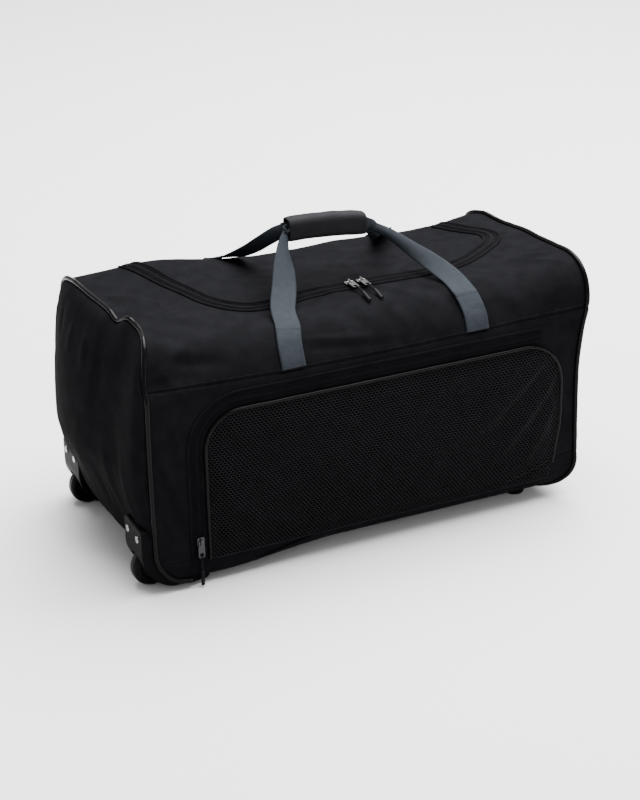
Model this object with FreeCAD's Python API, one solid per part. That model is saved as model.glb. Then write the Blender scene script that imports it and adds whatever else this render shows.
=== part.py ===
import FreeCAD, Part
import math
import os

os.makedirs("parts", exist_ok=True)
V = FreeCAD.Vector

# A wheeled duffel bag, in millimetres.  +X runs along the bag from its wheel end (-X) to its
# far end, -Y is the pocket side, +Z is up and the floor is z = 0.

# bag body: a soft box with well rounded shoulders
half_length = 380.0
half_depth = 196.0
bag_bottom = 14.0
bag_top = 402.0
shoulder_radius = 78.0
base_radius = 24.0
corner_radius = 60.0
fabric = 3.0
base_seam_z = 43.0
shoulder_seam_z = 337.0
wheel_end_bulge = 40.0
far_end_bulge = 18.0
overall_half_length = 420.0
piping_radius = 4.0
piping_stand_off = 2.5
piping_tuck = 34.0

# lift-up top flap and its zipper
flap_hinge_y = 151.0
flap_front_y = -64.0
flap_gap = 0.4
hinge_relief = 3.7
coil_stop_y = 120.0
zip_half_width = 12.0
zip_tape = 1.6
coil_half_width = 2.8
coil_height = 2.6

# front pocket
pocket_bottom = 44.0
pocket_piping_radius = 3.5
mesh_thickness = 2.5

# carrying handles
webbing_width = 40.0
webbing = 2.4
strap_left_x = -141.0
strap_right_x = 182.0
grip_left_x = -62.0
grip_right_x = 82.0
grip_z = 480.0
grip_height = 47.0
grip_front_y = -16.0
grip_back_y = 12.0
grip_cloth = 2.5
grip_strap_y = 4.3

# pull handle on the far end
pull_handle_width = 30.0
pull_handle_low_z = 150.0
pull_handle_high_z = 285.0

# zipper sliders and pullers
slider_long = 16.0
slider_wide = 12.0
slider_deck = 2.8
bridge_gap = 2.8
bridge_bar = 1.3
pin_radius = 1.1
tab_length = 28.0
tab_hole_at = 22.0
tab_hole_radius = 3.4
tab_thickness = 1.6
pull_cord_radius = 1.0
pull_end_start = 50.0
pull_end_length = 26.0
left_slider_x = 18.0
right_slider_x = 39.0
pocket_zip_x = -306.0
pocket_slider_z = 80.0

# wheels and their corner housings
wheel_x = -377.0
wheel_y = 153.0
wheel_radius = 32.0
wheel_width = 23.0
core_radius = 20.0
bearing_outer_radius = 11.0
bearing_width = 7.0
axle_radius = 4.0
bearing_clearance = 0.05
housing_face_x = -403.0
housing_outer_y = 194.0
housing_inner_y = 112.0
housing_bottom = 7.0
housing_top = 114.0
housing_corner = 64.0
housing_wall = 3.0
flange_end_x = -285.0
flange_rivet_x = -305.0
well_radius = 37.0
well_half_width = 15.0
rivet_z = 94.0
rivet_half_spacing = 21.0
rivet_head_radius = 6.0
rivet_shank_radius = 2.4

# feet under the far end, and the stiff board inside
foot_x = 290.0
foot_y = 140.0
foot_radius = 17.0
screw_radius = 2.0
board = 3.0

box_reach = 900.0


def save(name, shape):
    """Write one named piece and report its volume."""
    if not shape.isValid():
        shape.fix(0.001, 0.001, 0.01)
    solids = shape.Solids
    body = solids[0] if len(solids) == 1 else Part.makeCompound(solids)
    body.exportStep("parts/" + name + ".step")
    print("%-26s solids %d  %10.1f mm3  valid %s" % (name, len(solids), body.Volume, body.isValid()))


def box(low, high):
    """An upright box between two corners."""
    return Part.makeBox(high[0] - low[0], high[1] - low[1], high[2] - low[2], V(*low))


def rounded_wire(points, radii, closed=True):
    """Straight runs joined by tangent arcs; radii gives one radius for each point."""
    corners = []
    last = len(points) - 1
    for i, point in enumerate(points):
        if radii[i] <= 0 or (not closed and i in (0, last)):
            corners.append((point, None, point))
            continue
        back = (points[i - 1] - point).normalize()
        ahead = (points[(i + 1) % len(points)] - point).normalize()
        half = back.getAngle(ahead) / 2
        reach = radii[i] / math.tan(half)
        inward = (back + ahead).normalize()
        middle = point + inward * (radii[i] / math.sin(half) - radii[i])
        corners.append((point + back * reach, middle, point + ahead * reach))
    edges = []
    for i, (start, middle, end) in enumerate(corners):
        if middle is not None:
            edges.append(Part.Arc(start, middle, end).toShape())
        if i == last and not closed:
            break
        following = corners[(i + 1) % len(corners)][0]
        if (following - end).Length > 1e-6:
            edges.append(Part.LineSegment(end, following).toShape())
    return Part.Wire(edges)


def prism(wire, direction):
    """A closed outline pushed along a direction."""
    return Part.Face(wire).extrude(direction)


def bag_section(x, inset):
    """The bag's rounded cross-section at x, drawn in by inset all round."""
    wide = half_depth - inset
    low = bag_bottom + inset
    high = bag_top - inset
    corners = [V(x, -wide, low), V(x, wide, low), V(x, wide, high), V(x, -wide, high)]
    round_low = max(base_radius - inset, 6.0)
    round_high = max(shoulder_radius - inset, 6.0)
    return rounded_wire(corners, [round_low, round_low, round_high, round_high])


def bag_tube(inset=0.0, x_low=-450.0, x_high=450.0):
    """The bag's cross-section carried along X."""
    return prism(bag_section(x_low, inset), V(x_high - x_low, 0, 0))


def bag_form(inset=0.0):
    """The bag without its padded ends: the tube cut to length, its lower ends rounded."""
    reach = half_length - inset
    low = bag_bottom + inset
    turn = corner_radius - inset
    corners = [V(-reach, -300, low), V(reach, -300, low), V(reach, -300, 600), V(-reach, -300, 600)]
    return bag_tube(inset).common(prism(rounded_wire(corners, [turn, turn, 0, 0]), V(0, 600, 0)))


def end_section(x, inset):
    """One step of a padded end: square at the foot of its rim, rounded as it draws in."""
    wide = half_depth - inset
    low = bag_bottom + corner_radius + inset
    high = bag_top - inset
    corners = [V(x, -wide, low), V(x, wide, low), V(x, wide, high), V(x, -wide, high)]
    round_low = 1.0 + min(inset, 24.0)
    round_high = max(shoulder_radius - inset, 8.0)
    return rounded_wire(corners, [round_low, round_low, round_high, round_high])


def end_dome(side, bulge):
    """The padded end of the bag as a solid: it swells outward in three steps."""
    rim = side * half_length
    steps = [(0.0, 0.0), (14.0, 0.55), (60.0, 0.88), (110.0, 1.0)]
    wires = [end_section(rim + side * bulge * out, inset) for inset, out in steps]
    return Part.makeLoft(wires, True, True)


def tube(wire, radius):
    """A round cord or piping along a wire."""
    edge = wire.Edges[0]
    start = edge.valueAt(edge.FirstParameter)
    along = edge.tangentAt(edge.FirstParameter)
    if edge.Orientation == "Reversed":
        start = edge.valueAt(edge.LastParameter)
        along = edge.tangentAt(edge.LastParameter) * -1
    ring = Part.Wire([Part.Circle(start, along, radius).toShape()])
    return wire.makePipeShell([ring], True, True)


def flap_outline(grow):
    """The lift-up part of the top, seen from above, with its zipper side grown by grow."""
    corners = [V(-290, flap_hinge_y, 0), V(-208, flap_front_y, 0), V(215, flap_front_y, 0),
               V(342, 12, 0), V(288, flap_hinge_y, 0)]
    wire = rounded_wire(corners, [0, 95, 190, 60, 0])
    if grow:
        wire = wire.makeOffset2D(grow)
    return wire


def flap_prism(grow, back_y=flap_hinge_y):
    """The flap's outline as an upright prism that stops at back_y."""
    solid = prism(flap_outline(grow), V(0, 0, 140))
    solid.translate(V(0, 0, shoulder_seam_z))
    return solid.common(box((-box_reach, -box_reach, 0), (box_reach, back_y, box_reach)))


def surface_layer(height):
    """A layer of the given thickness lying on the outside of the bag."""
    return bag_tube(-height, -half_length, half_length).cut(bag_tube())


def housing_block(inset):
    """Outer form of the near wheel housing, a block round the bag's corner, drawn in by inset."""
    x_face = housing_face_x + inset
    x_end = flange_end_x - inset
    y_out = -housing_outer_y + inset
    y_in = -housing_inner_y - inset
    low = housing_bottom + inset
    high = housing_top - inset
    side = [V(x_face, -300, high), V(x_face, -300, low), V(x_end, -300, low), V(x_end, -300, high)]
    block = prism(rounded_wire(side, [5, housing_corner - inset, 0, 0]), V(0, 300, 0))
    plan = [V(x_face, y_in, 0), V(x_face, y_out, 0), V(x_end, y_out, 0), V(x_end, y_in, 0)]
    block = block.common(prism(rounded_wire(plan, [4, 4, 26 - inset, 26 - inset]), V(0, 0, 150)))
    end = [V(-450, y_in, low), V(-450, y_in, high), V(-450, y_out, high), V(-450, y_out, low)]
    return block.common(prism(rounded_wire(end, [3.5, 16 - inset, 16 - inset, 3.5]), V(200, 0, 0)))


def wheel_well(grow):
    """The space the near wheel turns in, open below and outward, grown by grow."""
    radius = well_radius + grow
    half = well_half_width + grow
    arch = Part.makeCylinder(radius, 2 * half, V(wheel_x, -wheel_y - half, wheel_radius), V(0, 1, 0))
    mouth = box((wheel_x - radius, -wheel_y - half, -10), (wheel_x + radius, -wheel_y + half, wheel_radius))
    return arch.fuse(mouth).removeSplitter()


def near_and_far(name, shape):
    """Save a piece of the pocket side and its mirror image at the back."""
    save(name + "_front", shape)
    save(name + "_back", shape.mirror(V(0, 0, 0), V(0, 1, 0)))


def rivet(centre, direction, grip):
    """A domed rivet whose head lies on a face at centre and whose shank goes along direction."""
    head = Part.makeCylinder(rivet_head_radius, 2.2, centre, direction * -1)
    head = head.makeFillet(1.4, [e for e in head.Edges if e.Curve.TypeId == "Part::GeomCircle"
                                 and (e.Curve.Center - centre).dot(direction) < -1])
    shank = Part.makeCylinder(rivet_shank_radius, grip, centre, direction)
    tail = Part.makeCylinder(4.0, 1.5, centre + direction * grip, direction)
    return head.fuse([shank, tail]).removeSplitter()


def face_rivets(side):
    """Centres of the two rivets high on a wheel housing's face."""
    return [V(housing_face_x, side * wheel_y + shift, rivet_z)
            for shift in (-rivet_half_spacing, rivet_half_spacing)]


def flange_rivet(side):
    """Centre of the rivet under a wheel housing's bottom flange."""
    return V(flange_rivet_x, side * wheel_y, housing_bottom)


def ribbon(stations, thickness):
    """A strap through stations of (centre, direction across the strap, width)."""
    wires = []
    last = len(stations) - 1
    for i, (centre, across, width) in enumerate(stations):
        along = (stations[min(i + 1, last)][0] - stations[max(i - 1, 0)][0]).normalize()
        across = (across - along * across.dot(along)).normalize()
        out = across.cross(along) * (thickness / 2)
        half = across * (width / 2)
        corners = [centre - half - out, centre + half - out, centre + half + out, centre - half + out]
        wires.append(Part.makePolygon(corners + [corners[0]]))
    return Part.makeLoft(wires, True, True)


def shoulder_point(x, degrees, height):
    """A point over the pocket-side shoulder, degrees down from its top, height off the cloth."""
    reach = shoulder_radius + height
    turn = math.radians(degrees)
    return V(x, -(half_depth - shoulder_radius) - reach * math.sin(turn),
             bag_top - shoulder_radius + reach * math.cos(turn))


# ---------------------------------------------------------------- bag shell

bag_outside = bag_form()
rim_z = bag_bottom + corner_radius
bag_inside = bag_form(fabric).fuse(bag_tube(fabric).common(box((-450, -300, rim_z), (450, 300, 500))))
housing_front = housing_block(0)
corner_room_front = housing_front.cut(bag_outside).fuse(wheel_well(housing_wall).common(housing_front))
corner_room = corner_room_front.fuse(corner_room_front.mirror(V(0, 0, 0), V(0, 1, 0)))

bay_inner = housing_inner_y - 2
bay_top = housing_top + 3
housing_bays = box((-450, -half_depth, 0), (-half_length, -bay_inner, bay_top))
housing_bays = housing_bays.fuse(box((-450, bay_inner, 0), (-half_length, half_depth, bay_top)))

screw_holes = [Part.makeCylinder(screw_radius, 30, V(foot_x, side * foot_y, 2)) for side in (-1, 1)]
flange_holes = [Part.makeCylinder(rivet_shank_radius, 30, flange_rivet(side) - V(0, 0, 2)) for side in (-1, 1)]


def piping_path(side):
    """Centre line of an end's piping: over the shoulders and down into the lower corners."""
    x = side * (half_length + piping_stand_off - 1)
    wide = half_depth + piping_stand_off
    high = bag_top + piping_stand_off
    turn = math.radians(piping_tuck)
    bend = corner_radius + piping_stand_off
    reach = bend * math.tan(turn / 2)
    low = rim_z - reach
    tuck = V(-side * reach * math.sin(turn), 0, -reach * math.cos(turn))
    over = shoulder_radius + piping_stand_off
    corners = [V(x, -wide, low) + tuck, V(x, -wide, low), V(x, -wide, high),
               V(x, wide, high), V(x, wide, low), V(x, wide, low) + tuck]
    return rounded_wire(corners, [0, bend - 1, over, over, bend - 1, 0], closed=False)


def make_shell():
    """Base, side, shoulder and end panels of the bag."""
    skin = bag_outside.cut(bag_inside)
    sides = {}
    for name, y_low, y_high in (("front_panel", -300, fabric - half_depth), ("back_panel", half_depth - fabric, 300)):
        sides[name] = skin.common(box((-450, y_low, base_seam_z), (450, y_high, shoulder_seam_z)))
        save(name, sides[name].cut(corner_room))
    base = skin.common(box((-450, -300, 0), (450, 300, rim_z)))
    base = base.cut(sides["front_panel"]).cut(sides["back_panel"]).cut(corner_room)
    save("base_panel", base.cut(Part.makeCompound(screw_holes + flange_holes)))
    top = skin.common(box((-450, -300, shoulder_seam_z), (450, 300, 500)))
    # The flap's slanted corner is cut back beside the hinge so that it swings clear of the panel next to it.
    relief = box((-300, flap_hinge_y - 6.5, 0), (-290 + hinge_relief, 300, 500))
    save("top_flap", top.common(flap_prism(0)).cut(relief))
    rim = top.cut(flap_prism(flap_gap))
    save("top_front_panel", rim.common(box((-400, -300, 0), (400, flap_front_y, 500))))
    save("top_wheel_side_panel", rim.common(box((-400, flap_front_y, 0), (0, flap_hinge_y, 500))))
    save("top_far_side_panel", rim.common(box((0, flap_front_y, 0), (400, flap_hinge_y, 500))))
    save("top_back_panel", rim.common(box((-400, flap_hinge_y, 0), (400, 300, 500))))
    for name, side, bulge in (("wheel_end", -1, wheel_end_bulge), ("far_end", 1, far_end_bulge)):
        dome = end_dome(side, bulge)
        inner = dome.copy()
        inner.translate(V(-side * fabric, 0, 0))
        save(name + "_panel", dome.cut(inner).cut(corner_room).cut(housing_bays))
        cord = tube(piping_path(side), piping_radius)
        save(name + "_piping", cord.cut(bag_outside).cut(dome).cut(corner_room))
    flat = half_depth - base_radius - 2
    low = bag_bottom + fabric
    board_reach = half_length - corner_radius - 2
    board_plate = box((-board_reach, -flat, low), (board_reach, flat, low + board))
    save("base_board", board_plate.cut(Part.makeCompound(screw_holes + flange_holes)))


# ---------------------------------------------------------------- flap zipper


def make_flap_zipper():
    """Tape and coil on each side of the flap's edge, open at the hinge."""
    back_y = flap_hinge_y - 6
    tape = surface_layer(zip_tape)
    coil = surface_layer(coil_height).cut(surface_layer(zip_tape))
    outer = flap_prism(zip_half_width, back_y).cut(flap_prism(flap_gap, back_y))
    outer_coil = flap_prism(coil_half_width, back_y).cut(flap_prism(flap_gap, back_y))
    hinge_edge = box((-264, back_y - 2 * zip_half_width, 0), (275, 300, 500))
    inner = flap_prism(0, back_y).cut(flap_prism(-zip_half_width, back_y)).cut(hinge_edge)
    inner_coil = flap_prism(0, back_y).cut(flap_prism(-coil_half_width, back_y))
    save("bag_zip_tape", tape.common(outer))
    # At the far end the coil stops short of the hinge, out of the way of the flap's slanted edge.
    past_stop = box((200, coil_stop_y, 0), (400, 300, 500))
    save("bag_zip_coil", coil.common(outer_coil).cut(past_stop))
    save("flap_zip_tape", tape.common(inner))
    save("flap_zip_coil", coil.common(inner_coil))


# ---------------------------------------------------------------- front pocket

pocket_left = -289.0
pocket_right = 347.0
pocket_top = 291.0
pocket_corner = 58.0
pocket_zip_width = 25.0


def pocket_outline(grow, y):
    """The pocket's outline on the front panel, grown outward by grow."""
    low = pocket_bottom
    corners = [V(pocket_left - grow, y, low), V(pocket_left - grow, y, pocket_top + grow),
               V(pocket_right + grow, y, pocket_top + grow), V(pocket_right + grow, y, 150),
               V(pocket_right - 22 + grow, y, low)]
    return rounded_wire(corners, [0, pocket_corner + grow, pocket_corner + 20 + grow, 120, 0])


def pocket_plate(grow, low, high):
    """The pocket's outline as a plate lying low to high millimetres off the front panel."""
    return prism(pocket_outline(grow, -half_depth - low), V(0, low - high, 0))


def make_pocket():
    """Mesh panel, its zipper and the piping round its free edge."""
    save("pocket_mesh_panel", pocket_plate(0, 0, mesh_thickness))
    edge = 2 * pocket_piping_radius
    low = pocket_bottom
    route = pocket_outline(pocket_piping_radius, -half_depth - pocket_piping_radius)
    open_route = Part.Wire([e for e in route.Edges if e.BoundBox.ZMax > low + 1])
    cord = tube(open_route, pocket_piping_radius)
    cord = cord.cut(pocket_plate(0, -1, mesh_thickness)).cut(box((-400, -half_depth, 0), (400, 0, 400)))
    save("pocket_piping", cord)
    middle = edge + pocket_zip_width / 2
    room = box((-400, -300, 0), (302, -100, 400))
    room = room.cut(box((-250, -300, 0), (400, -100, pocket_top - 20)))
    inner = pocket_plate(middle - coil_half_width, 0, zip_tape).cut(pocket_plate(edge, -1, 5))
    outer = pocket_plate(edge + pocket_zip_width, 0, zip_tape).cut(pocket_plate(middle + coil_half_width, -1, 5))
    coil = pocket_plate(middle + coil_half_width, 0, coil_height)
    coil = coil.cut(pocket_plate(middle - coil_half_width, -1, 5))
    save("pocket_zip_tape_inner", inner.common(room))
    save("pocket_zip_tape_outer", outer.common(room))
    save("pocket_zip_coil", coil.common(room))


# ---------------------------------------------------------------- handles


def handle_loop():
    """The pocket-side carrying strap, from one sewn root over the grip to the other."""
    lie = webbing / 2 + 0.6
    climb = [(45, lie), (38, lie + 0.2), (31, lie + 0.7), (24, lie + 1.4)]
    rise = [(-120.0, 409.5), (-84.0, 426.0), (-54.0, 446.0), (-27.0, 465.0), (-9.0, 477.0)]
    left_x = [-133.0, -117.0, -99.0, -81.0, -70.0]
    right_x = [173.0, 157.0, 136.0, 112.0, 93.0]
    twists = [8, 22, 42, 66, 84]
    stations = [(shoulder_point(strap_left_x, turn, off), V(1, 0, 0), webbing_width) for turn, off in climb]
    for (y, z), x, twist in zip(rise, left_x, twists):
        turn = math.radians(twist)
        stations.append((V(x, y, z), V(math.cos(turn), 0, -math.sin(turn)), 38.0))
    for x in (grip_left_x + 2, grip_left_x + 10, grip_right_x - 10, grip_right_x - 2):
        stations.append((V(x, -grip_strap_y, grip_z), V(0, 0, -1), 38.0))
    for (y, z), x, twist in reversed(list(zip(rise, right_x, twists))):
        turn = math.radians(twist)
        stations.append((V(x, y, z), V(-math.cos(turn), 0, -math.sin(turn)), 38.0))
    for turn, off in reversed(climb):
        stations.append((shoulder_point(strap_right_x, turn, off), V(-1, 0, 0), webbing_width))
    return ribbon(stations, webbing)


def strap_root(x):
    """The sewn end of a strap: flat webbing from the shoulder seam up to its cross stitch."""
    shoulder = bag_tube(-webbing, x - webbing_width / 2, x + webbing_width / 2).cut(bag_tube())
    end = shoulder_point(x, 46, 0)
    keep = box((-400, -300, shoulder_seam_z), (400, end.y - 1, end.z - 1))
    return shoulder.common(keep)


def grip_outline(inset, back_y):
    """The grip's section: a rounded block, open at the back where the far strap lies."""
    low = grip_z - grip_height / 2 + inset
    high = grip_z + grip_height / 2 - inset
    front = grip_front_y + inset
    corners = [V(grip_left_x, front, low), V(grip_left_x, front, high),
               V(grip_left_x, back_y, high), V(grip_left_x, back_y, low)]
    return rounded_wire(corners, [9 - inset, 9 - inset, 0, 0])


def make_handles():
    """Two webbing loops, their sewn roots and the padded grip on the pocket-side loop."""
    loop = handle_loop()
    save("handle_loop_front", loop)
    save("handle_loop_back", loop.mirror(V(0, 0, 0), V(0, 1, 0)))
    for label, x in (("left", strap_left_x), ("right", strap_right_x)):
        near_and_far("strap_root_" + label, strap_root(x))
    long = V(grip_right_x - grip_left_x, 0, 0)
    hollow = prism(grip_outline(grip_cloth, grip_back_y + 1), long)
    save("grip_wrap", prism(grip_outline(0, grip_back_y), long).cut(hollow))
    pad = prism(grip_outline(grip_cloth, -grip_strap_y - webbing / 2), long)
    save("grip_padding", pad.common(box((grip_left_x + 10, -50, 0), (grip_right_x - 10, 50, 600))))


def make_pull_handle():
    """A short webbing handle standing off the far end."""
    flush = half_length + far_end_bulge + webbing / 2
    proud = overall_half_length - webbing / 2
    low = pull_handle_low_z
    high = pull_handle_high_z
    profile = [(flush, low), (flush, low + 20), (flush + 9, low + 33), (proud, low + 48),
               (proud, high - 48), (flush + 9, high - 33), (flush, high - 20), (flush, high)]
    stations = [(V(x, 0, z), V(0, 1, 0), pull_handle_width) for x, z in profile]
    save("pull_handle", ribbon(stations, webbing))


# ---------------------------------------------------------------- sliders and pullers


def slider(long_x, long_y):
    """A zipper slider's deck and bridge; the puller's pin axis is the local X axis."""
    deck_top = -bridge_gap / 2
    deck = Part.makeBox(long_x, long_y, slider_deck, V(-long_x / 2, -long_y / 2, deck_top - slider_deck))
    upright = [e for e in deck.Edges if abs(e.tangentAt(e.FirstParameter).z) > 0.9]
    deck = deck.makeFillet(3.0, upright)
    posts = [Part.makeBox(2.6, 1.6, bridge_gap, V(-1.3, y, deck_top)) for y in (-5.0, 3.4)]
    bar = Part.makeBox(2.6, 10.0, bridge_bar, V(-1.3, -5.0, bridge_gap / 2))
    return deck.fuse(posts + [bar]).removeSplitter()


def puller():
    """A forked tab with a large eye; it points along local -Y from its pin."""
    half = tab_thickness / 2
    outline = [V(-5.5, -6, -half), V(5.5, -6, -half), V(5.5, -tab_length, -half), V(-5.5, -tab_length, -half)]
    plate = prism(rounded_wire(outline, [2, 2, 5, 5]), V(0, 0, tab_thickness))
    arms = [Part.makeBox(2.4, 9, tab_thickness, V(x, -9, -half)) for x in (-4.3, 1.9)]
    pin = Part.makeCylinder(pin_radius, 8.6, V(-4.3, 0, 0), V(1, 0, 0))
    eye = Part.makeCylinder(tab_hole_radius, 4, V(0, -tab_hole_at, -2))
    return plate.fuse(arms + [pin]).removeSplitter().cut(eye)


def pull_cord_points():
    """The cord's route: out from the moulded end, down through the eye and back."""
    strand = [(0.0, -50.0, 1.15), (0.5, -41.5, 1.6), (-0.4, -34.0, 2.1), (0.3, -28.2, 2.35),
              (0.0, -24.0, 2.1)]
    back = [(-x, y, -z) for x, y, z in reversed(strand)]
    return [V(*point) for point in strand + back]


def pull_cord():
    """The cord loop as straight runs and tangent arcs, with its radii and length printed."""
    points = pull_cord_points()
    radii = [0.0]
    for i in range(1, len(points) - 1):
        before = points[i - 1] - points[i]
        after = points[i + 1] - points[i]
        turn = math.pi - before.getAngle(after)
        radii.append(0.45 * min(before.Length, after.Length) / math.tan(turn / 2))
    radii.append(0.0)
    path = rounded_wire(points, radii, closed=False)
    solid = tube(path, pull_cord_radius)
    expected = math.pi * pull_cord_radius ** 2 * path.Length
    print("pull cord radii", [round(r, 2) for r in radii[1:-1]])
    print("pull cord length %.1f, volume %.1f, section times length %.1f"
          % (path.Length, solid.Volume, expected))
    return solid


def pull_end(tilt):
    """The moulded end of a pull cord, slightly flared, turned down by tilt degrees."""
    start = V(0, -pull_end_start, 0)
    body = Part.makeCone(2.9, 3.2, pull_end_length, start, V(0, -1, 0))
    ends = [e for e in body.Edges if e.Curve.TypeId == "Part::GeomCircle"]
    body = body.makeFillet(0.8, ends)
    body.rotate(start, V(1, 0, 0), tilt)
    return body


def place(shape, origin, outward_is_front):
    """Put a local zipper piece on the bag; outward_is_front turns local +Z to world -Y."""
    piece = shape.copy()
    if outward_is_front:
        piece.rotate(V(0, 0, 0), V(1, 0, 0), 90)
    piece.translate(origin)
    return piece


def make_sliders():
    """Two sliders on the flap's zipper and one on the pocket's, each with its pull."""
    rise = coil_height + 0.2 + slider_deck + bridge_gap / 2
    top_z = bag_top + rise
    front_y = -half_depth - rise
    cord = pull_cord()
    for label, x in (("left", left_slider_x), ("right", right_slider_x)):
        spot = V(x, flap_front_y, top_z)
        save("main_slider_" + label, place(slider(slider_long, slider_wide), spot, False))
        save("main_puller_" + label, place(puller(), spot, False))
        save("main_pull_cord_" + label, place(cord, spot, False))
        save("main_pull_end_" + label, place(pull_end(11.0), spot, False))
    spot = V(pocket_zip_x - 2.5, front_y, pocket_slider_z)
    save("pocket_slider", place(slider(slider_wide, slider_long), spot, True))
    save("pocket_puller", place(puller(), spot, True))
    save("pocket_pull_cord", place(cord, spot, True))
    save("pocket_pull_end", place(pull_end(0.0), spot, True))


# ---------------------------------------------------------------- wheels, housings and feet


def make_housings():
    """Moulded corner housings with their wheel wells, flanges, plates and rivets."""
    shell = housing_front.cut(housing_block(housing_wall)).cut(bag_outside)
    walls = wheel_well(housing_wall).common(housing_front)
    shell = shell.fuse(walls).cut(wheel_well(0))
    holes = [Part.makeCylinder(rivet_shank_radius, 9, spot - V(1, 0, 0), V(1, 0, 0)) for spot in face_rivets(-1)]
    holes.append(flange_holes[0])
    axle_hole = Part.makeCylinder(axle_radius, 60, V(wheel_x, -wheel_y - 30, wheel_radius), V(0, 1, 0))
    near_and_far("wheel_housing", shell.cut(Part.makeCompound(holes + [axle_hole])).removeSplitter())
    plate_x = housing_face_x + housing_wall
    plate = box((plate_x, -wheel_y - 32, rivet_z - 9), (plate_x + 2, -wheel_y + 32, rivet_z + 9))
    near_and_far("housing_backing_plate", plate.cut(Part.makeCompound(holes)))
    rivets = []
    for side in (-1, 1):
        for spot in face_rivets(side):
            rivets.append(rivet(spot, V(1, 0, 0), housing_wall + 2))
        rivets.append(rivet(flange_rivet(side), V(0, 0, 1), bag_bottom + fabric + board - housing_bottom))
    save("rivets", Part.makeCompound(rivets))


def revolve_y(profile, centre):
    """Turn a (radius, offset along the axle) outline about the axle through centre."""
    points = [V(centre.x + r, centre.y + y, centre.z) for r, y in profile]
    face = Part.Face(Part.makePolygon(points + [points[0]]))
    return face.revolve(centre, V(0, 1, 0), 360)


def make_wheels():
    """Each wheel is a tyre on a moulded core, turning on two bearings and a fixed axle."""
    centre = V(wheel_x, -wheel_y, wheel_radius)
    half = wheel_width / 2
    tyre = revolve_y([(core_radius, -half), (wheel_radius - 5, -half), (wheel_radius - 1.6, -half + 2.4),
                      (wheel_radius, -half + 6.5), (wheel_radius, half - 6.5),
                      (wheel_radius - 1.6, half - 2.4), (wheel_radius - 5, half), (core_radius, half)], centre)
    near_and_far("wheel_tyre", tyre)
    seat = half - bearing_width
    inner = bearing_outer_radius
    dish = 2.0
    core = revolve_y([(inner, -half + 1), (inner + 3, -half + 1), (inner + 4.5, -half + 1 + dish),
                      (core_radius - 2.5, -half + 1 + dish), (core_radius, -half + 0.6),
                      (core_radius, half - 0.6), (core_radius - 2.5, half - 1 - dish),
                      (inner + 4.5, half - 1 - dish), (inner + 3, half - 1), (inner, half - 1),
                      (inner, seat), (inner - 2.5, seat), (inner - 2.5, -seat), (inner, -seat)], centre)
    near_and_far("wheel_core", core)
    bore = axle_radius + bearing_clearance
    bearings = []
    for low, high in ((-half + 0.5, -seat), (seat, half - 0.5)):
        ring = revolve_y([(bore, low), (inner, low), (inner, high), (bore, high)], centre)
        bearings.append(ring)
    near_and_far("wheel_bearings", Part.makeCompound(bearings))
    length = 2 * (well_half_width + housing_wall + 2)
    shaft = Part.makeCylinder(axle_radius, length, V(wheel_x, -wheel_y - length / 2, wheel_radius), V(0, 1, 0))
    ends = [e for e in shaft.Edges if e.Curve.TypeId == "Part::GeomCircle"]
    near_and_far("wheel_axle", shaft.makeChamfer(0.6, ends))


def make_feet():
    """Two moulded feet that hold the far end level, screwed up through base and board."""
    foot = Part.makeCylinder(foot_radius, bag_bottom, V(foot_x, -foot_y, 0))
    rim = [e for e in foot.Edges if e.Curve.TypeId == "Part::GeomCircle" and e.Curve.Center.z < 1]
    foot = foot.makeFillet(3.0, rim)
    recess = Part.makeCylinder(5.0, 5.0, V(foot_x, -foot_y, 0))
    near_and_far("foot", foot.cut(recess).cut(screw_holes[0]))
    screws = []
    for side in (-1, 1):
        head = Part.makeCylinder(4.2, 2.4, V(foot_x, side * foot_y, 2.6))
        shank = Part.makeCylinder(screw_radius, 18.5, V(foot_x, side * foot_y, 5.0))
        screws.append(head.fuse(shank).removeSplitter())
    save("foot_screws", Part.makeCompound(screws))


make_shell()
make_flap_zipper()
make_pocket()
make_handles()
make_pull_handle()
make_sliders()
make_housings()
make_wheels()
make_feet()
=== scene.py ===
import math

import bpy
import numpy as np
from mathutils import Matrix, Vector


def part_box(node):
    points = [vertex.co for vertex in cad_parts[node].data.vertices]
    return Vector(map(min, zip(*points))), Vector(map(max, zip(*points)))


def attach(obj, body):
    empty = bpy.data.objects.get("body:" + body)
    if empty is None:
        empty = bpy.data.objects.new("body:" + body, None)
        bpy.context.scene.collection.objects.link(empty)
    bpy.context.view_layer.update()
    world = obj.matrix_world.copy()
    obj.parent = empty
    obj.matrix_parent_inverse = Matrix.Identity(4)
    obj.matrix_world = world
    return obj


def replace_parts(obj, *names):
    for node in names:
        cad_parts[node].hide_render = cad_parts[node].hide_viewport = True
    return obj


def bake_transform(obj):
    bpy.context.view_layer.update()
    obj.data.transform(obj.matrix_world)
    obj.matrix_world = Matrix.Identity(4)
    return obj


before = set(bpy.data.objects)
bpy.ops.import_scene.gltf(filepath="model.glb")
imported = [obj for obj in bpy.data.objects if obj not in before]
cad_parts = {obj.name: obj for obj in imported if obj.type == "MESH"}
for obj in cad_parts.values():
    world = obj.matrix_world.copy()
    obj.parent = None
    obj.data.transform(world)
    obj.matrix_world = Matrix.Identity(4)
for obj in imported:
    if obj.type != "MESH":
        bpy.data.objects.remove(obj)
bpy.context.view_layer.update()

# Lengths in this script are millimetres until a mesh is made; MM turns them into metres.
MM = 0.001


def span(node):
    """A CAD node's box in millimetres: (low, high)."""
    low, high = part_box(node)
    return low / MM, high / MM


# ------------------------------------------------------------------ sizes from the frame

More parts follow.
